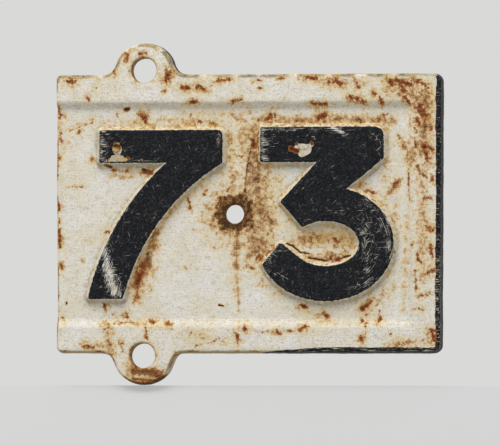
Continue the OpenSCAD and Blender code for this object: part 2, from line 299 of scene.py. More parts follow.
# Rust that has come through the paint, as strokes: start, end, half width and strength
rust_strokes = [
    # The upper lug and the top rim
    (-166, 121, -162, 121, 2.6, 1), (-137, 122, -137, 122, 1.4, 0.7), (-142, 115, -141, 114, 1.2, 0.6),
    (-148, 106, -147, 102, 1.5, 0.9), (-122, 134, -123, 128, 1.8, 0.75), (-111, 145, -113, 139, 1.6, 0.85),
    (-100, 145, -94, 146, 1.5, 0.95), (-74, 128, -75, 122, 2.7, 1), (-76, 134, -76, 130, 1.5, 0.8),
    (-61, 115, -55, 114, 2.2, 1), (-46, 115, -41, 113, 2.4, 1), (-77, 111, -77, 111, 1.2, 0.9),
    (-28, 121, -16, 122, 1.6, 0.9), (-34, 119, -32, 119, 1.4, 0.6), (-52, 101, -48, 102, 2.1, 0.9),
    (-16, 101, -6, 103, 1.6, 0.9), (9, 121, 11, 121, 1.4, 0.9), (3, 119, 4, 119, 1.3, 0.6),
    (11, 114, 12, 114, 1.2, 1), (52, 124, 63, 122, 1.6, 0.95), (74, 120, 75, 120, 2.7, 1),
    (81, 120, 85, 118, 2.9, 1), (98, 119, 101, 115, 2.2, 0.85), (27, 123, 33, 123, 1.1, 0.9),
    (94, 105, 100, 103, 2.3, 1), (105, 101, 107, 100, 2.4, 0.9), (115, 109, 116, 107, 2.1, 0.9),
    (121, 104, 123, 100, 1.8, 0.9), (59, 99, 71, 99, 1.8, 0.85),
    # The right rim
    (131, 119, 132, 117, 3.5, 1), (137, 120, 149, 116, 2.7, 1), (140, 117, 143, 110, 2.7, 1),
    (150, 121, 161, 117, 2.4, 0.85), (163, 115, 165, 113, 2.6, 0.8), (144, 105, 148, 99, 2.4, 0.9),
    (155, 109, 158, 107, 1.8, 0.7), (157, 96, 162, 87, 4.2, 1), (155, 84, 157, 80, 2.6, 0.9),
    (162, 83, 162, 81, 1.8, 0.85), (168, 77, 168, 75, 1.8, 0.85), (161, 60, 169, 57, 3, 1),
    (163, 54, 165, 46, 2.6, 0.95), (153, 67, 154, 59, 1.1, 1), (156, 41, 159, 36, 2.4, 0.85),
    (161, 34, 164, 31, 2, 0.8), (170, 32, 170, 29, 1.8, 0.95), (162, 13, 167, 12, 1.6, 0.85),
    (154, 76, 155, 72, 1.2, 0.85), (164, -14, 170, -16, 2, 0.85), (168, -31, 170, -41, 2.4, 0.8),
    (156, -37, 157, -44, 1.4, 0.9), (159, -45, 161, -46, 1.6, 0.8), (166, -55, 171, -53, 2.6, 0.9),
    (154, -53, 155, -71, 1, 0.85), (156, -77, 168, -74, 1.6, 0.65), (156, -87, 162, -89, 2, 0.6),
    (151, -29, 151, -30, 1.2, 0.9), (170, -108, 172, -116, 2.7, 1),
    # The bottom rim
    (138, -121, 150, -118, 2.2, 0.7), (-2, -105, -1, -106, 2.3, 1), (-9, -112, -8, -114, 2.2, 0.9),
    (-8, -116, -8, -121, 0.8, 0.8), (10, -109, 42, -108, 0.8, 0.75), (28, -108, 30, -110, 2.1, 0.85),
    (49, -107, 54, -103, 2, 0.9), (121, -98, 122, -97, 1.8, 0.95), (105, -98, 106, -99, 1.6, 0.9),
    (105, -114, 106, -116, 2, 0.95), (109, -87, 109, -112, 0.9, 0.6), (131, -111, 132, -111, 1.2, 0.8),
    (-130, -106, -127, -117, 2.4, 0.56), (-93, -105, -92, -115, 1.3, 0.85),
    (-116, -119, -115, -121, 2, 0.75), (-114, -124, -113, -127, 1.6, 0.7),
    (-150, -122, -141, -123, 1.6, 0.85), (-89, -100, -85, -100, 2, 0.9), (-74, -101, -72, -102, 1.8, 0.95),
    (-123, -101, -104, -100, 1.2, 0.8), (-53, -109, -51, -110, 2.4, 0.65), (-48, -120, -44, -121, 2.2, 0.6),
    (-35, -119, -25, -115, 0.9, 0.8),
    # The lower lug
    (-103, -145, -86, -146, 3.2, 0.5), (-84, -150, -79, -146, 1.6, 0.95), (-103, -152, -88, -153, 1.7, 0.9),
    (-103, -139, -101, -142, 1.6, 1), (-83, -143, -79, -144, 2.2, 0.8),
    # Round the seven, and the left edge
    (-176, 96, -174, 88, 2.4, 0.85), (-174, 73, -173, 65, 2.1, 0.85), (-97, 89, -95, 84, 2.7, 1),
    (-144, 50, -145, 49, 1.5, 0.8), (-165, 75, -156, 79, 0.6, 0.8), (-156, 79, -144, 83, 0.6, 0.8),
    (-169, 24, -149, 24, 0.8, 0.6), (-156, 76, -156, 74, 1.2, 0.9), (-175, 8, -175, 3, 1.4, 1),
    (-175, -5, -174, -9, 1.3, 0.95), (-175, -16, -174, -31, 1.7, 0.95), (-173, -47, -172, -51, 1.2, 0.9),
    (-175, 54, -175, 43, 1.2, 0.8), (-40, 20, -37, 21, 1.6, 0.75), (-55, 13, -53, 4, 1.6, 0.8),
    (-45, 22, -41, 27, 0.9, 0.7), (-41, 17, -40, 16, 1.3, 0.9), (-125, 39, -91, 37, 1.6, 0.65),
    (-91, 38, -89, 36, 1.8, 0.95), (-130, -17, -128, -17, 2.2, 0.8), (-148, -25, -147, -25, 1.8, 0.6),
    (-153, -42, -153, -43, 0.9, 1), (-173, -95, -172, -96, 1.4, 0.8), (-90, -34, -83, -19, 1.6, 0.6),
    (-101, -64, -96, -48, 4.2, 1.05), (-103, -77, -101, -68, 2.6, 0.95), (-132, -83, -131, -88, 1.6, 0.85),
    (-111, -92, -111, -95, 1.8, 0.9), (-125, -93, -122, -93, 1.6, 0.65), (-31, -31, -31, -32, 0.9, 0.8),
    (-58, -50, -57, -51, 0.8, 0.7), (-54, 88, -52, 91, 1.4, 0.7), (-47, 84, -42, 83, 1.8, 0.8),
    (-35, 82, -33, 82, 1.6, 0.8), (-122, 90, -119, 91, 1.6, 0.6), (-136, 83, -133, 82, 1.6, 0.7),
    (-30, -23, -28, -17, 1.2, 0.6),
    # Between the numerals
    (4, 66, 5, 60, 2.4, 1), (-8, 53, -7, 51, 1.7, 0.8), (-10, 84, -9, 84, 1.7, 0.7),
    (3, -50, 4, -51, 1.6, 1), (8, -42, 11, -38, 1.6, 0.9), (8, -23, 13, -27, 1.3, 0.6),
    (-20, 18, -16, 24, 1.4, 0.7), (-11, -14, -10, -44, 0.8, 0.62),
    # Round the three
    (11, -43, 29, -29, 1.1, 0.85), (80, -24, 82, -27, 2.2, 1), (75, -42, 83, -43, 2.7, 1),
    (52, -26, 53, -27, 1.5, 0.6), (50, -84, 53, -86, 2.4, 0.9), (69, -92, 74, -95, 2.1, 0.95),
    (105, -88, 113, -81, 2.4, 1), (121, -90, 121, -92, 2.7, 0.6), (125, -73, 127, -74, 2.4, 0.5),
    (131, 20, 137, 28, 2.2, 0.95), (138, 70, 139, 68, 1.8, 0.75), (143, 60, 144, 59, 1.8, 0.95),
    (17, 84, 21, 90, 2.6, 0.9), (24, 90, 25, 84, 1.6, 0.85), (64, 86, 70, 89, 2.7, 1),
    (61, 88, 61, 87, 1.3, 1), (85, 86, 86, 85, 1.8, 0.8), (120, 85, 128, 90, 1.8, 0.75),
    (108, 20, 118, 17, 1.8, 0.75), (133, -4, 136, -17, 1.6, 0.55), (133, -35, 135, -37, 1.4, 0.6),
    (147, 36, 148, 11, 0.8, 0.85), (146, 60, 146, 43, 0.6, 0.7),
]
# Ochre that has washed out of the rust and soaked into the paint
ochre_strokes = [
    # The upper lug and the top rim
    (50, 122, 110, 118, 5, 0.55), (-122, 140, -108, 150, 4, 0.65), (-80, 132, -74, 120, 4, 0.5),
    # The right rim
    (160, -60, 162, 110, 7, 0.62), (150, 48, 165, 74, 9, 0.74), (130, 114, 168, 100, 9, 0.75),
    (162, 55, 163, 108, 8, 0.9),
    # The bottom rim
    (-128, -103, -125, -128, 6, 0.74), (-120, -100, -76, -102, 3, 0.65), (-56, -110, -20, -118, 6, 0.45),
    (10, -108, 60, -106, 4, 0.3), (130, -120, 170, -116, 5, 0.6), (-150, -120, -120, -122, 4, 0.6),
    # The lower lug
    (-106, -138, -82, -146, 6, 0.9), (-104, -144, -84, -146, 5.4, 1.25), (-104, -152, -88, -153, 3, 1),
    # Round the seven, and the left edge
    (-138, 84, -20, 84, 3.5, 0.54), (-60, 91, 0, 90, 4, 0.5), (-175, 98, -172, 60, 4, 0.62),
    (-84, -18, -101, -76, 5, 0.8), (-128, -20, -138, -75, 3, 0.5), (-128, 34, -90, 34, 4, 0.5),
    (-112, -92, -124, -96, 4, 0.5), (-45, 22, -30, 60, 4, 0.5), (-58, 14, -40, 24, 4, 0.55),
    (-160, 80, -142, 86, 3, 0.5), (-102, -66, -94, -46, 6.2, 1.3), (-94, -45, -84, -17, 3.4, 0.95),
    (-84, -17, -66, 8, 2.8, 0.6), (-32, 41, -26, 57, 2.7, 0.7), (-118, 38, -91, 37, 2.3, 0.8),
    (-97, 39.5, -89, 36.5, 1.6, 1.9), (-132, 44, -126, 42, 1.4, 1.2), (-26, -84, -22, -85, 0.8, 2),
    (-168, -82, -168, -83, 0.9, 2), (-113, 95, -111, 95, 1.6, 1.7), (-98, 88, -96, 84, 6, 0.7),
    (-60, 84, -30, 84, 4, 0.7),
    # Between the numerals
    (-18, 78, -14, 20, 5, 0.62), (-11, 16, -10, -70, 5, 0.62), (-26, -8, 2, -8, 12, 0.55),
    (2, 20, 10, -20, 8, 0.8), (-19, 77, -18, 61, 0.9, 0.9), (3, 60, -1, 43, 0.9, 1.3),
    (-1, 43, -3, 19, 0.9, 1.3), (-11, -12, -10, -45, 1.3, 0.85), (-11, -14, -10, -36, 5, 0.9),
    (1, 8, 3, -12, 6.5, 1.1), (-10, -45, -8, -90, 1.2, 0.7), (5, 70, 10, -35, 18, 0.8),
    (0, 52, 4, 74, 4, 0.7), (-14, 40, 2, 24, 6, 0.55),
    # Round the three
    (8, 84, 132, 84, 5, 0.8), (8, -26, 28, -42, 7, 0.65), (96, 34, 116, 14, 6, 0.6),
    (132, -30, 136, 10, 5, 0.5), (108, -92, 130, -72, 7, 0.5), (48, -88, 76, -97, 5, 0.55),
    (52, -22, 92, -24, 11, 0.6), (60, -42, 90, -38, 5, 0.7), (143, -90, 149, 90, 3, 0.5),
    (20, -8, 40, 14, 4, 0.5), (10, 30, 14, 76, 4, 0.6), (12, -60, 30, -75, 6, 0.45),
    (48, -21, 96, -23, 5.5, 0.5), (48, -30, 94, -33, 6, 0.55), (74, -39, 83, -41, 3.7, 1),
    (30, 10, 44, -20, 3, 0.4), (14, 4, 20, -8, 9, 0.8), (40, -25, 95, -30, 10, 0.6),
    (125, 75, 128, -60, 7, 0.42),
]
# Cracks along the root of the three's open counter
cracks = [
    (36, -28, 41, -30, 0.5, 1), (41, -30, 48, -36, 0.6, 1), (48, -36, 56, -37, 0.5, 1),
    (56, -41, 73, -44, 0.6, 1), (84, -42, 94, -39, 0.7, 1),
]

# Where each of the plate's points lies: across and up, above the back, and from what stands near
flat, height = places(plate)
x, z = flat.T
inside, _ = nearest(flat, edge)
feet = [even_steps(cad_outlines(n, field_height)[0], 0.8)[0] for n in ("numeral_seven", "numeral_three")]
to_foot, _ = nearest(flat, np.vstack(feet))
to_hole = np.linalg.norm(flat - centre_hole, axis=1) - centre_hole_r
to_lug = np.minimum(*(np.linalg.norm(flat - (lug_x, s * lug_z), axis=1) for s in (-1, 1))) - lug_hole_r
to_ring = np.linalg.norm(flat - centre_hole - (-0.8, 1.6), axis=1) - centre_hole_r
on_front = height > 8
at_top = z > 120
slope = (height > field_height + 0.4) & (height < rim_height - 0.4) & (inside > 5)
below = np.array([v.normal.z for v in plate.data.vertices]) < -0.3

# Black: how far, in mm, a point lies within the right side's, the bottom's, the top's or the back's
black_right, black_bottom, black_start, black_back = 172.3, 122.5, 68, 1.2
right_side = x - black_right + 0.8 * noisy(flat, 12, 5)
bottom_side = -z - black_bottom + 0.8 * noisy(flat, 12, 6) - np.clip((black_start - x) / 12, 0, 9)
top_side = np.minimum(4 + 1.3 * noisy(flat, 22, 8) - 0.5 * height, 3 - inside)
top_side = np.where((z > 60) & (x > -160), top_side, -9)
black = np.maximum.reduce([right_side, np.minimum(bottom_side, x), top_side, black_back - height])

# Worn places: the front's edge, the holes' edges and the ring that a bolt's washer left round the
# centre hole; and the lower lug's bottom edge, which is stained and darkened
arris = np.clip(1.3 + 0.4 * at_top - np.abs(inside - 1.4 - 0.5 * at_top) / 1.6, 0, 1)
arris *= (black < 0) * on_front * np.clip(0.7 + 2.4 * noisy(flat, 16, 3) + 0.4 * at_top, 0, 1)
bored = np.clip(1.15 - np.abs(np.minimum(to_lug, to_hole)) / 1.6, 0, 1)
ring = np.clip((10.5 - to_ring + 3.6 * noisy(flat, 9, 4) + 2.6 * noisy(flat, 3.4, 11)) / 3, 0, 1)
lug_bottom = np.clip((-145 - z) / 5, 0, 1) * np.clip(1.7 - inside / 2.2, 0, 1)

# Rust: on the front in its strokes and worn places, and on the back in clouds of freckles
rust = np.maximum.reduce([marked(flat, rust_strokes), (0.55 - 0.4 * at_top) * arris, 0.5 * bored])
behind = np.clip(1.3 * noisy(flat, 45, 9) + 0.7 * noisy(flat, 9, 10) + 0.25 * (inside < 5), 0, 0.42)
rust = np.where(height < 3, np.maximum(behind, 0.5 * bored), rust)
# Stain: ochre strokes, wider and fainter round the rust, and in the worn places and the cracks
stain = np.maximum.reduce([
    marked(flat, ochre_strokes),
    0.8 * marked(flat, [(*s[:4], s[4] * 2.4, s[5]) for s in rust_strokes]),
    marked(flat, [(*c[:4], 0.7, 2) for c in cracks]),
    (1.12 + 0.4 * np.clip(1 - to_hole / 3.5, 0, 1)) * ring,
    0.85 * np.clip(1 - to_hole / 40, 0, 1),
    0.45 * np.clip(1 - to_lug / 9, 0, 1),
    0.36 * np.clip(1 - inside / 10, 0, 1),
    (0.6 - 0.25 * at_top) * arris,
    1.3 * lug_bottom,
])
# Grime and painted shade: painted shade along the numerals' roots, on the slopes and on the
# edges that face down; grime in the worn places, in the three's counter and on the lower lug
grime = np.maximum.reduce([
    0.5 * np.clip(1 - to_foot / 4, 0, 1),
    0.34 * np.clip(1 - to_foot / 9, 0, 1),
    0.3 * (slope & below),
    0.27 * (slope & ~below),
    1.15 * arris,
    bored,
    0.8 * ring,
    1.3 * lug_bottom,
    marked(flat, [(58, -20, 92, -24, 10, 0.8), (-104, -143, -84, -145, 4, 0.8)]),
    np.where(z < -131, 0.5, 0.85) * (below & (inside < 3.2) & (height < 15.4)),
])
weathered_and_shaded(plate, (x, height, z), rust=rust, stain=stain, grime=grime, black=black,
          worn=(0.5 + 0.12 * (z < -40)) * (black > 0) * on_front)
# The left edge leans, and the lugs' roots spread, as on the casting
lean = 1.7 * np.clip(0.2 - z / 110, 0, 1) * np.clip((-x - 150) / 26, 0, 1)
beside = x - lug_x
spread = (1.4 + 0.5 * ((beside > 0) & (z < 0))) * np.clip(beside / 20, -1, 1)
spread = spread * np.clip((to_lug - 7) / 6, 0, 1) * np.clip((np.abs(z) - 122) / 6, 0, 1)
lean += spread * np.clip((60 - np.abs(beside)) / 12, 0, 1)
# Its top edge is cast a little low
low_top = -0.8 * np.clip((z - 110) / 14, 0, 1) * np.clip((to_lug - 2) / 7, 0, 1)
eaten = 0.3 * np.clip(rust * 2 - 0.9, 0, 1)
rough_cast(plate, [(30, 0.3), (7, 0.2), (2.6, 0.13)], eaten, np.column_stack([lean, low_top]))


def linear(code):
    """A colour written as an sRGB hex code, as the linear numbers that a socket takes."""
    parts = [int(code[i:i + 2], 16) / 255 for i in (1, 3, 5)]
    return [c / 12.92 if c <= 0.04045 else ((c + 0.055) / 1.055) ** 2.4 for c in parts] + [1]


def add(tree, kind, inputs=(), **settings):
    """Adds a node with its settings, and with each input as a value or as a link from another socket."""
    new = tree.nodes.new(kind)
    for name, value in settings.items():
        setattr(new, name, value)
    for name, value in dict(inputs).items():
        if isinstance(value, bpy.types.NodeSocket):
            tree.links.new(value, new.inputs[name])
        else:
            new.inputs[name].default_value = value
    return new


def painted_iron(name, brush, scratches, black_gloss):
    """Old oil paint on iron, cream and then black, with the stain, dirt, painted shade, rust and scratches
    on it.
    """
    material = bpy.data.materials.new(name)
    material.use_nodes = True
    tree = material.node_tree
    tree.nodes.clear()
    place = add(tree, "ShaderNodeTexCoord").outputs["Object"]
    laid = add(tree, "ShaderNodeAttribute", attribute_name="laid").outputs["Vector"]
    laid = add(tree, "ShaderNodeMapping", {"Vector": laid, "Scale": brush}).outputs[0]
    rust, stain, grime, black, worn = (
        add(tree, "ShaderNodeAttribute", attribute_name=n).outputs["Fac"]
        for n in ("rust", "stain", "grime", "black", "worn")
    )
    # Clouds of 30 mm, blotches of 9 mm, paint edges ragged over 3 mm, 1.1 mm sand-cast grain,
    # and bristle marks 9 to 14 mm long and under a millimetre wide
    cloud, blotch, ragged, grain, bristle = (
        add(tree, "ShaderNodeTexNoise", {
            "Vector": at, "Scale": 1000 / size, "Detail": detail, "Roughness": 0.6}).outputs[0]
        for at, size, detail in (
            (place, 30, 3), (place, 9, 3), (place, 3.2, 4), (place, 1.1, 2), (laid, 1, 3))
    )

    def glazed(base, glazes):
        """The base under thin colours, each of which lies where its noise is past a value."""
        for value, least, most, cover, code in glazes:
            amount = add(tree, "ShaderNodeMapRange", {
                "Value": value, "From Min": least, "From Max": most, "To Max": cover})
            base = add(tree, "ShaderNodeMix", {
                0: amount.outputs[0], 6: base.outputs[2], 7: linear(code)}, data_type="RGBA")
        return base

    # Cream: warmer and cooler coats over each other, dull specks, and the lines of the brush
    cream = add(tree, "ShaderNodeMapRange", {"Value": cloud, "From Min": 0.35, "From Max": 0.65})
    cream = glazed(add(tree, "ShaderNodeMix", {
        0: cream.outputs[0], 6: linear("#e4e0d8"), 7: linear("#dfd6c0")}, data_type="RGBA"), (
        (ragged, 0.44, 0.3, 0.6, "#b5a88c"), (ragged, 0.57, 0.72, 0.5, "#eeeeec"),
        (blotch, 0.42, 0.3, 0.5, "#cbbf9f"), (blotch, 0.56, 0.7, 0.6, "#ecebe6"),
        (bristle, 0.5, 0.28, 0.4, "#b5aa90"), (bristle, 0.56, 0.7, 0.4, "#efeee9"),
        (grain, 0.46, 0.3, 0.6, "#857757")))

    # Grime with painted shade, ochre stain and rust, each by its own mark, made ragged by the noises:
    # (weights of blotch, ragged and grain, lowest and highest value, and (place, colour, cover) stops)
    layers = {}
    for layer, mark, weights, low, high, stops in (
        ("grime", grime, (0.5, 1.5, 0.6), 0.2, 1.1, (
            (0, "#a39678", 0), (0.5, "#7f7152", 0.7), (1, "#4d3f27", 0.95))),
        ("stain", stain, (1.0, 1.8, 0.8), 0.1, 1.3, (
            (0.08, "#e0d0a4", 0), (0.24, "#dac388", 0.5), (0.42, "#c79c54", 0.8), (0.64, "#936533", 0.93),
            (0.92, "#452e18", 1))),
        ("rust", rust, (0.4, 1.8, 0.9), 0.4, 1.25, (
            (0.06, "#b98746", 0), (0.17, "#ad733d", 0.6), (0.32, "#99592f", 0.92), (0.55, "#7c4327", 1),
            (0.92, "#4f2c1a", 1))),
    ):
        total = mark
        for value, weight in zip((blotch, ragged, grain), weights):
            total = add(tree, "ShaderNodeMath", {
                0: value, 1: weight, 2: total}, operation="MULTIPLY_ADD").outputs[0]
        middle = sum(weights) / 2
        total = add(tree, "ShaderNodeMapRange", {
            "Value": total, "From Min": low + middle, "From Max": high + middle})
        ramp = add(tree, "ShaderNodeValToRGB", {0: total.outputs[0]})
        for k, (at, code, cover) in enumerate(stops):
            stop = ramp.color_ramp.elements[k] if k < 2 else ramp.color_ramp.elements.new(at)
            stop.position, stop.color = at, linear(code)[:3] + [cover]
        layers[layer] = ramp.outputs
    for layer in ("grime", "stain"):
        cream = add(tree, "ShaderNodeMix", {
            0: layers[layer]["Alpha"], 6: cream.outputs[2], 7: layers[layer]["Color"]}, data_type="RGBA")

    # Black coat: its edge wavers by half a millimetre, and gaps between bristles open where it is worn
    edge = add(tree, "ShaderNodeMath", {0: ragged, 1: 2.0, 2: black}, operation="MULTIPLY_ADD")
    edge = add(tree, "ShaderNodeMapRange", {"Value": edge.outputs[0], "From Min": 0.95, "From Max": 1.25})
    gap = add(tree, "ShaderNodeMath", {0: bristle, 1: 2.6, 2: worn}, operation="MULTIPLY_ADD")
    gap = add(tree, "ShaderNodeMath", {0: ragged, 1: 0.6, 2: gap.outputs[0]}, operation="MULTIPLY_ADD")
    gap = add(tree, "ShaderNodeMapRange", {
        "Value": gap.outputs[0], "From Min": 2.35, "From Max": 2.65, "To Min": 1, "To Max": 0.08})
    coat = add(tree, "ShaderNodeMath", {
        0: edge.outputs[0], 1: gap.outputs[0]}, operation="MULTIPLY").outputs[0]
    for turn, along, across in scratches:
        lie = add(tree, "ShaderNodeMapping", {
            "Vector": place, "Rotation": (0, math.radians(turn), 0), "Scale": (along, across, across)},
            vector_type="TEXTURE")
        fine = add(tree, "ShaderNodeTexNoise", {
            "Vector": lie.outputs[0], "Scale": 1000, "Detail": 0, "Roughness": 0.5}).outputs[0]
        fine = add(tree, "ShaderNodeMath", {0: worn, 1: 0.14, 2: fine}, operation="MULTIPLY_ADD")
        fine = add(tree, "ShaderNodeMath", {
            0: blotch, 1: 0.25, 2: fine.outputs[0]}, operation="MULTIPLY_ADD")
        cut = add(tree, "ShaderNodeMapRange", {
            "Value": fine.outputs[0], "From Min": 0.92, "From Max": 1.02, "To Min": 1, "To Max": 0.4})
        coat = add(tree, "ShaderNodeMath", {0: coat, 1: cut.outputs[0]}, operation="MULTIPLY").outputs[0]
    soot = glazed(add(tree, "ShaderNodeMix", {
        0: cloud, 6: linear("#08090b"), 7: linear("#121419")}, data_type="RGBA"), (
        (blotch, 0.45, 0.7, 0.5, "#24262c"), (bristle, 0.5, 0.75, 0.6, "#303236"),
        (grain, 0.54, 0.72, 0.65, "#504f4b")))
    painted = add(tree, "ShaderNodeMix", {
        0: coat, 6: cream.outputs[2], 7: soot.outputs[2]}, data_type="RGBA")

    # Rust comes through last, with freckles: cells of so many mm, of which some hold a speck
    bare = layers["rust"]["Alpha"]
    colour = add(tree, "ShaderNodeMix", {
        0: bare, 6: painted.outputs[2], 7: layers["rust"]["Color"]}, data_type="RGBA")
    for cell, least, widest, cover, code in (
        (5.5, 0.84, 0.2, 0.9, "#744526"), (2.6, 0.8, 0.26, 0.55, "#836a45"),
    ):
        dots = add(tree, "ShaderNodeTexVoronoi", {"Vector": place, "Scale": 1000 / cell, "Randomness": 1.0})
        few = add(tree, "ShaderNodeSeparateColor", {0: dots.outputs["Color"]})
        few = add(tree, "ShaderNodeMath", {0: stain, 1: 0.7, 2: few.outputs[0]}, operation="MULTIPLY_ADD")
        few = add(tree, "ShaderNodeMapRange", {
            "Value": few.outputs[0], "From Min": least, "From Max": least + 0.7, "To Max": widest})
        speck = add(tree, "ShaderNodeMath", {
            0: few.outputs[0], 1: dots.outputs["Distance"]}, operation="SUBTRACT")
        speck = add(tree, "ShaderNodeMapRange", {
            "Value": speck.outputs[0], "From Max": 0.08, "To Max": cover})
        clear = add(tree, "ShaderNodeMath", {0: 1.0, 1: coat}, operation="SUBTRACT")
        speck = add(tree, "ShaderNodeMath", {
            0: speck.outputs[0], 1: clear.outputs[0]}, operation="MULTIPLY")
        colour = add(tree, "ShaderNodeMix", {
            0: speck.outputs[0], 6: colour.outputs[2], 7: linear(code)}, data_type="RGBA")

    gloss = add(tree, "ShaderNodeMapRange", {"Value": coat, "To Min": 0.62, "To Max": black_gloss})
    gloss = add(tree, "ShaderNodeMix", {0: bare, 2: gloss.outputs[0], 3: 0.9})
    lift = grain
    for value, weight in ((bare, -1.2), (bristle, 0.9), (ragged, 0.8), (coat, 0.6)):
        lift = add(tree, "ShaderNodeMath", {
            0: value, 1: weight, 2: lift}, operation="MULTIPLY_ADD").outputs[0]
    relief = add(tree, "ShaderNodeBump", {"Height": lift, "Distance": 0.00035, "Strength": 0.8})
    surface = add(tree, "ShaderNodeBsdfPrincipled", {
        "Base Color": colour.outputs[2], "Roughness": gloss.outputs[0], "Normal": relief.outputs[0],
        "Specular IOR Level": 0.1, "Metallic": 0.0})
    add(tree, "ShaderNodeOutputMaterial", {"Surface": surface.outputs[0]})
    return material


# Oil-bound cream paint laid on with a broad brush: dull, chalky and yellowed, over pitted iron
plate.data.materials.append(painted_iron(
    "brushed_cream_oil_paint_on_cast_iron", brush=(1 / 14, 1, 1 / 0.8), scratches=[], black_gloss=0.5))
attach(plate, "root")
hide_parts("plate")


# The seven: a separate iron casting with sloped sides, laid on the field and riveted through.
# Its face is brushed black along the stroke, and its sides are left in the plate's cream.
numeral_rise, numeral_slope, foot_flare, foot_sunk = 6, 4, 0.6, 0.5
face_height = field_height + numeral_rise - 0.08
face_soft, foot_soft, crack_depth = 1.5, 0.9, 0.9
head_hole_r, head_count = rivet_head_r + 0.35, 48
sand_grain = [(22, 0.1), (6, 0.07), (2.2, 0.04)]


def raised_numeral(name, node, cracks=()):
    """A numeral's mesh over its CAD outline, where its points are, and how far inside its face."""
    line, line_out = even_steps(cad_outlines(node, field_height + numeral_rise)[0], 0.5)
    lowest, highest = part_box(node)
    own = [seat for seat in seats if lowest.x < seat[0] / 1000 < highest.x]

    def beyond_face(p):
        gap, which = nearest(p, line)
        return gap * np.sign(np.sum((p - line[which]) * line_out[which], axis=1))

    def height(p, beyond):
        sloped = face_height - (beyond + 0.3 * noisy(p, 7)) * numeral_rise / numeral_slope
        sloped = -smooth_max(-sloped, -face_height, face_soft)
        return smooth_max(sloped, field_height - foot_sunk, foot_soft) - crack_depth * marked(p, cracks)

    # Points run along the face's outline, inside and outside it, so that the arris is clean
    extra = []
    for away in (-1.8, -1.1, -0.6, -0.25, 0.1, 0.45, 0.9, 1.6, 2.4, 3.1, 3.7):
        ring = line + line_out * away
        extra.append(ring[nearest(ring, line)[0] > abs(away) - 0.03])
    extra = np.vstack(extra)
    foot, out = even_steps(cad_outlines(node, field_height)[0], 0.9)
    rim = foot + out * foot_flare
    sheet, triangles = filled(rim, [(seat, head_hole_r, head_count) for seat in own], 1.15, extra)
    heights = height(sheet, beyond_face(sheet))
    to_holes = [np.abs(np.linalg.norm(sheet - seat, axis=1) - head_hole_r) for seat in own]
    heights[np.min(to_holes, axis=0) < 1e-3] = face_height
    under, under_triangles = filled(rim, [(seat, shank_hole_r, head_count) for seat in own], 6)
    rim_heights = height(rim, beyond_face(rim))
    bottom = field_height - foot_sunk - 0.4
    skirt = [np.column_stack([rim, h]) for h in (rim_heights, np.full(len(rim), bottom))]
    rings = [(head_hole_r, face_height), (5.66, 16.84), (5.55, 16.6), (5.4, 16.4)]
    rings += [(shank_hole_r, 14.5), (shank_hole_r, bottom)]
    piece = welded(
        name,
        [(sheet, heights, triangles), (under, np.full(len(under), bottom), under_triangles)],
        [skirt] + [bore(seat, head_count, rings) for seat in own],
    )
    flat, tall = places(piece)
    return piece, flat, tall, -beyond_face(flat)


path_step, chip_edge, chip_fall = 0.5, 0.4, 8


def numeral_wear_and_shade(made, brush_path, chips, chip_dirt, rust_marks, worn_patches, stain_marks):
    """Stores a numeral's wear: black over its face, less the chips, and cream with dirt and painted shade on
    its sides.
    """
    piece, flat, tall, inset = made
    path = np.vstack([np.linspace(a, b, int(math.dist(a, b) / path_step), endpoint=False)
                      for a, b in zip(brush_path, brush_path[1:])])
    for _ in range(300):
        path[1:-1] = (path[:-2] + path[2:]) / 2
    ahead = np.roll(path, -1, 0) - path
    ahead[-1] = ahead[-2]
    _, along = nearest(flat, path)
    away = flat - path[along]
    across = (away[:, 0] * ahead[along][:, 1] - away[:, 1] * ahead[along][:, 0]) / path_step
    chipped = marked(flat, chips)
    facing_up = np.array([v.normal.z for v in piece.data.vertices])
    down_side = np.clip((-inset - 0.4) / 1.1, 0, 1)
    at_foot = np.clip(1 - np.abs(tall - field_height) / 2.2, 0, 1)
    black = np.minimum(inset + 0.45, (chip_edge - chipped) * chip_fall)
    stain = np.maximum.reduce([
        down_side * marked(flat, ochre_strokes),
        down_side * (0.12 + 0.5 * np.clip(facing_up, 0, 1)),
        marked(flat, stain_marks),
    ])
    # Grime and painted shade: over the sides, darker at the foot and on the sides that face down
    grime = np.maximum.reduce([
        0.6 * down_side * at_foot,
        down_side * (0.4 + 0.2 * np.clip(-2 * facing_up, 0, 1)),
        0.4 * (inset < 0.6),
        chip_dirt * np.clip(chipped * 2, 0, 1),
    ])
    rust = np.maximum(marked(flat, rust_strokes) * (inset < 0.2), marked(flat, rust_marks))
    weathered_and_shaded(piece, (along * path_step, tall, across), rust=rust, stain=stain, grime=grime,
              black=black, worn=marked(flat, worn_patches))


seven = raised_numeral("seven_casting", "numeral_seven")
chips = [
    (-120.5, 60, -120, 57.5, 3.4, 1), (-119.6, 57, -119.6, 51, 1.9, 1), (-124, 50.5, -116, 50.5, 1.6, 1),
    (-127, 48.3, -112, 48.6, 1.3, 1),
]
# Scraped bare at the bar's left end, in a patch over the stem's foot, and in lighter scuffs
worn_patches = [
    (-134, 72, -134, 50, 7, 0.74), (-131, -36, -128, -49, 4.6, 1.1), (-128, -50, -121, -72, 6.2, 1.15),
    (-119, -58, -116, -76, 2.8, 0.8), (-90, 45, -80, 44, 1.8, 0.7), (-124, -1, -90, 39, 6, 0.75),
    (-130, -26, -114, 4, 5, 0.7), (-27, 73, -26, 57, 1.5, 0.6), (-115, 48, -84, 47, 3, 0.55),
]
numeral_wear_and_shade(
    seven, [(-137, 61), (-45, 61), (-59, 43), (-80, 20), (-105, -17), (-122, -53), (-129, -78)],
    chips, chip_dirt=0.72,
    rust_marks=[(-124, 62, -122, 63, 1.7, 1.1), (-111, 50, -109, 50, 1.3, 1), (-27, 72, -26, 57, 1.1, 0.6)],
    worn_patches=worn_patches,
    stain_marks=[(-124, 62, -119, 61, 3, 1.3), (-128, 50, -112, 49, 3, 0.55)],
)
rough_cast(seven[0], sand_grain)
# Black coach enamel over the cream: deep and slightly glossy where it still holds
enamel_brush, enamel_gloss = (1 / 9, 1, 1 / 0.7), 0.42
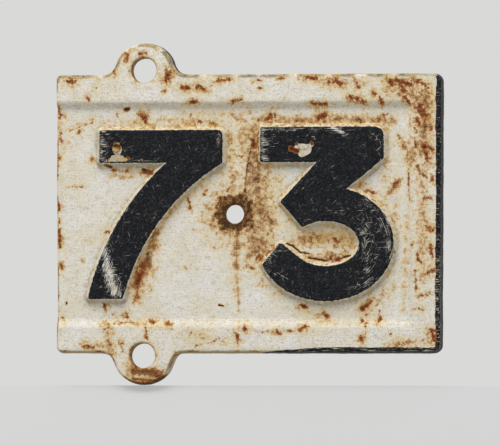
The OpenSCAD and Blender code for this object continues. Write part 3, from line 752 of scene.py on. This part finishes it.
# Three ways that scratches lie: their turn in degrees, and their length and width in mm
enamel_scratches = [(-6, 9, 0.6), (68, 6, 0.6), (-42, 7, 0.6)]
black_face = painted_iron(
    "black_enamel_over_cream_on_cast_iron", enamel_brush, enamel_scratches, enamel_gloss)
seven[0].data.materials.append(black_face)
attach(seven[0], "root")
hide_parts("numeral_seven")


# The three: cast, riveted and painted as the seven is. The paint has cracked along the root of
# its open counter, where rust has come out, and its bowl is scratched all over on the right.
three = raised_numeral("three_casting", "numeral_three", cracks)
chips += [(47, 59, 55, 58, 3.2, 1), (50, 53.5, 55, 56, 2.6, 1), (55, 60, 59, 61.5, 1.5, 1)]
worn_patches += [
    (14, 75, 15, 48, 5.5, 0.8), (19, 76, 80, 76, 2.4, 0.7), (78, 77, 88, 72, 3.4, 1),
    (112, 71, 122, 66, 2.8, 0.7), (120, 56, 123, 46, 1.6, 0.7), (40, 22, 62, 34, 4, 0.4),
    (80, 10, 100, -6, 5, 0.4), (109, 11, 129, -18, 4.2, 0.62), (127, -2, 132, -45, 4.6, 0.74),
    (107, -12, 112, -64, 12, 0.6), (14, -45, 30, -34, 5, 0.7), (19, -51, 36, -60, 4, 0.6),
]
numeral_wear_and_shade(
    three, [(12, 62), (105, 62), (83, 44), (69, 19), (88, 6), (111, -13), (115, -32), (100, -52),
            (74, -63), (46, -60), (17, -44)],
    chips, chip_dirt=0.36,
    rust_marks=[(40, 58, 45, 56, 2, 1.6), (45, 62, 46, 62, 1.3, 1.2), (58, 63, 60, 62, 1.3, 1.2)],
    worn_patches=worn_patches,
    stain_marks=[(42, 57, 48, 58, 2.4, 0.5), (60, -43, 90, -42, 3, 0.6),
                 *((*c[:4], 0.8, 2) for c in cracks)],
)
rough_cast(three[0], sand_grain)
three[0].data.materials.append(black_face)
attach(three[0], "root")
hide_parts("numeral_three")


# The rivets: soft iron bars, hammered flush into a countersink at both ends, two through each
# numeral. The brush went over faces and heads alike, so that the same coats hide the wrought iron
# of the heads, except where they have flaked off the two upper ones.
hidden_head = painted_iron(
    "paint_over_hammered_wrought_iron", enamel_brush, enamel_scratches, enamel_gloss)
# Lengths in metres, and the seed of the hammer blows
rivet_inputs = {
    "Grip": 0.0167, "Head radius": 0.00545, "Shank radius": 0.0032, "Crown": 0.00006,
    "Hammering": 0.00016, "Seed": 7.0, "Iron": hidden_head}
tree = bpy.data.node_groups.new("hammered_rivets", "GeometryNodeTree")
tree.interface.new_socket("Geometry", in_out="OUTPUT", socket_type="NodeSocketGeometry")
tree.interface.new_socket("Seats", in_out="INPUT", socket_type="NodeSocketGeometry")
identifiers = {}
for name in rivet_inputs:
    kind = "NodeSocketMaterial" if name == "Iron" else "NodeSocketFloat"
    identifiers[name] = tree.interface.new_socket(name, in_out="INPUT", socket_type=kind).identifier
given = add(tree, "NodeGroupInput").outputs
# A bar one unit long and two across is turned to the rivet's section: a 45 degree cone at each end
bar = add(tree, "GeometryNodeMeshCylinder", {
    "Vertices": 48, "Side Segments": 24, "Fill Segments": 4, "Radius": 1.0, "Depth": 1.0})
at = add(tree, "ShaderNodeSeparateXYZ", {0: add(tree, "GeometryNodeInputPosition").outputs[0]}).outputs
from_middle = add(tree, "ShaderNodeMath", {0: at["Z"]}, operation="ABSOLUTE").outputs[0]
sink = add(tree, "ShaderNodeMath", {
    0: given["Head radius"], 1: given["Shank radius"]}, operation="SUBTRACT")
sink = add(tree, "ShaderNodeMath", {0: sink.outputs[0], 1: given["Grip"]}, operation="DIVIDE")
neck = add(tree, "ShaderNodeMath", {0: 0.5, 1: sink.outputs[0]}, operation="SUBTRACT")
radius = add(tree, "ShaderNodeMapRange", {
    "Value": from_middle, "From Min": neck.outputs[0], "From Max": 0.5,
    "To Min": given["Shank radius"], "To Max": given["Head radius"]}).outputs[0]
flat_out = add(tree, "ShaderNodeCombineXYZ", {"X": at["X"], "Y": at["Y"]}).outputs[0]
from_axis = add(tree, "ShaderNodeVectorMath", {0: flat_out}, operation="LENGTH").outputs["Value"]
dome = add(tree, "ShaderNodeMath", {0: from_axis, 1: from_axis}, operation="MULTIPLY")
dome = add(tree, "ShaderNodeMath", {0: 1.0, 1: dome.outputs[0]}, operation="SUBTRACT", use_clamp=True)
dome = add(tree, "ShaderNodeMath", {0: dome.outputs[0], 1: given["Crown"]}, operation="MULTIPLY")
end = add(tree, "ShaderNodeMath", {0: at["Z"]}, operation="SIGN").outputs[0]
dome = add(tree, "ShaderNodeMath", {0: end, 1: dome.outputs[0]}, operation="MULTIPLY").outputs[0]
wide = add(tree, "ShaderNodeVectorMath", {0: flat_out, "Scale": radius}, operation="SCALE").outputs[0]
long = add(tree, "ShaderNodeMath", {0: at["Z"], 1: given["Grip"], 2: dome}, operation="MULTIPLY_ADD")
long = add(tree, "ShaderNodeCombineXYZ", {"Z": long.outputs[0]}).outputs[0]
turned = add(tree, "GeometryNodeSetPosition", {
    "Geometry": bar.outputs["Mesh"],
    "Position": add(tree, "ShaderNodeVectorMath", {0: wide, 1: long}, operation="ADD").outputs[0]})
# One stands at each seat, head to the front, and each is struck by its own hammer blows
driven = add(tree, "GeometryNodeInstanceOnPoints", {
    "Points": given["Seats"], "Instance": turned.outputs[0], "Rotation": (math.pi / 2, 0, 0)})
driven = add(tree, "GeometryNodeRealizeInstances", {"Geometry": driven.outputs[0]})
blows = add(tree, "ShaderNodeTexNoise", {
    "Vector": add(tree, "GeometryNodeInputPosition").outputs[0], "W": given["Seed"], "Scale": 1000 / 3.5},
    noise_dimensions="4D").outputs["Color"]
blows = add(tree, "ShaderNodeVectorMath", {0: blows, 1: (0.5, 0.5, 0.5)}, operation="SUBTRACT")
blows = add(tree, "ShaderNodeVectorMath", {
    0: blows.outputs[0], "Scale": given["Hammering"]}, operation="SCALE").outputs[0]
driven = add(tree, "GeometryNodeSetPosition", {"Geometry": driven.outputs[0], "Offset": blows})
driven = add(tree, "GeometryNodeSetShadeSmooth", {"Geometry": driven.outputs[0]})
driven = add(tree, "GeometryNodeSetMaterial", {"Geometry": driven.outputs[0], "Material": given["Iron"]})
add(tree, "NodeGroupOutput", {0: driven.outputs[0]})

seat_points = bpy.data.meshes.new("rivet_seats")
middle_depth = -0.0085
seat_points.from_pydata([(x / 1000, middle_depth, z / 1000) for x, z in seats], [], [])
set_out = placed("rivet_seats", seat_points)
riveting = set_out.modifiers.new("riveting", "NODES")
riveting.node_group = tree
for name, value in rivet_inputs.items():
    riveting[identifiers[name]] = value
bpy.context.view_layer.update()
struck = bpy.data.meshes.new_from_object(set_out.evaluated_get(bpy.context.evaluated_depsgraph_get()))
set_out.modifiers.remove(riveting)
bpy.data.objects.remove(set_out)
struck.name = "hammered_rivets"
rivets = placed("hammered_rivets", struck)
flat, tall = places(rivets)
chipped = marked(flat, chips) * (tall > 12)
from_end = np.where(tall > 8.5, tall - 14, 2 - tall)
weathered_and_shaded(
    rivets, (flat[:, 0], tall, flat[:, 1]),
    rust=0.55 * (tall < 14),
    stain=0.7 * (from_end < 0) + marked(flat, [(-124, 62, -119, 61, 3.4, 1.35)]),
    grime=np.where(flat[:, 0] < 0, 0.7, 0.36) * (chipped > 0.2),
    black=np.minimum(from_end, (chip_edge - chipped) * chip_fall),
    worn=marked(flat, worn_patches) * (tall > 12),
)
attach(rivets, "root")
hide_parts("rivet_seven_upper", "rivet_seven_lower", "rivet_three_upper", "rivet_three_lower")


# The floor: pale paper on which the plate stands by its lower lug. It lies level behind, and
# falls away from the lug towards the camera, which looks slightly up at the plate.
level, fall = cad_box[0].z - 0.0002, math.tan(math.radians(38))
crest, softness = -0.0025, 0.001
# Rows of points from in front to behind, as metres from the crest, close together where it bends
row_places = (
    -9, -4, -2, -1, -0.5, -0.3, -0.2, -0.13, -0.08, -0.05, -0.03, -0.02, -0.014, -0.01, -0.007, -0.005,
    -0.0035, -0.0023, -0.0014, -0.0007, 0, 0.0007, 0.0014, 0.0023, 0.0035, 0.005, 0.01, 0.03, 0.1, 0.5, 2, 9)
shape = bmesh.new()
sheet_rows = []
for y in row_places:
    down = fall * 0.5 * (math.sqrt(y ** 2 + softness ** 2) - y)
    sheet_rows.append([shape.verts.new((x, crest + y, level - down)) for x in (-9, -1, 0, 1, 9)])
for a, b in zip(sheet_rows, sheet_rows[1:]):
    for i in range(4):
        shape.faces.new([a[i], a[i + 1], b[i + 1], b[i]])
mesh = bpy.data.meshes.new("floor")
shape.to_mesh(mesh)
shape.free()
mesh.shade_smooth()
floor = placed("floor", mesh)
# Matt paper. What the camera sees of it is a little over half plain, so that the shadow is soft
paper = bpy.data.materials.new("pale_background_paper")
paper.use_nodes = True
tree = paper.node_tree
tree.nodes.clear()
shaded = add(tree, "ShaderNodeBsdfDiffuse", {"Color": linear("#cbcbc9"), "Roughness": 0.5})
plain = add(tree, "ShaderNodeEmission", {"Color": linear("#d5d5d4"), "Strength": 1.0})
plain_share = 0.55
background_rays = ("Is Camera Ray", "Is Glossy Ray", "Is Transmission Ray")
rays = add(tree, "ShaderNodeLightPath").outputs
seen = 0.0
for ray in background_rays:
    seen = add(tree, "ShaderNodeMath", {
        0: rays[ray], 1: plain_share, 2: seen}, operation="MULTIPLY_ADD").outputs[0]
lit = add(tree, "ShaderNodeMixShader", {0: seen, 1: shaded.outputs[0], 2: plain.outputs[0]})
add(tree, "ShaderNodeOutputMaterial", {"Surface": lit.outputs[0]})
floor.data.materials.append(paper)


# Soft studio light: a broad overhead box in front of the plate, and an even pale surround.
world = bpy.data.worlds.new("surround")
bpy.context.scene.world = world
world.use_nodes = True
tree = world.node_tree
tree.nodes.clear()
glow = add(tree, "ShaderNodeBackground", {"Color": linear("#f4f6fa"), "Strength": 0.62})
backdrop = add(tree, "ShaderNodeBackground", {"Color": linear("#d9d9d8"), "Strength": 1.0})
rays = add(tree, "ShaderNodeLightPath").outputs
seen = 0.0
for ray in background_rays:
    seen = add(tree, "ShaderNodeMath", {0: rays[ray], 1: seen}, operation="MAXIMUM").outputs[0]
both = add(tree, "ShaderNodeMixShader", {0: seen, 1: glow.outputs[0], 2: backdrop.outputs[0]})
add(tree, "ShaderNodeOutputWorld", {"Surface": both.outputs[0]})

box = bpy.data.lights.new("overhead_box", "AREA")
box.shape = "RECTANGLE"
box.size, box.size_y = 2.4, 1.6
box.energy = 70
overhead = placed("overhead_box", box)
overhead.location = Vector((-0.35, -1.3, 2.4))
overhead.rotation_euler = (-overhead.location).to_track_quat("-Z", "Y").to_euler()


# The camera: a long lens six metres away, a little to the right of the plate and below it.
azimuth, elevation, roll = (math.radians(a) for a in (8, -3, 0.293))
distance, lens = 6.0, 473.5
aim_right, aim_up = 0.0003, -0.0087
toward = Vector((
    -math.sin(azimuth) * math.cos(elevation), math.cos(azimuth) * math.cos(elevation), -math.sin(elevation)))
right = Vector((math.cos(azimuth), math.sin(azimuth), 0))
up = right.cross(toward)
right, up = right * math.cos(roll) + up * math.sin(roll), up * math.cos(roll) - right * math.sin(roll)
camera_data = bpy.data.cameras.new("camera")
camera_data.lens, camera_data.sensor_width = lens, 36
camera_data.clip_start, camera_data.clip_end = 0.1, 100
camera = placed("camera", camera_data)
standing = Matrix((right, up, -toward)).transposed().to_4x4()
standing.translation = right * aim_right + up * aim_up - toward * distance
camera.matrix_world = standing
bpy.context.scene.camera = camera
bpy.context.scene.view_settings.view_transform = "Standard"
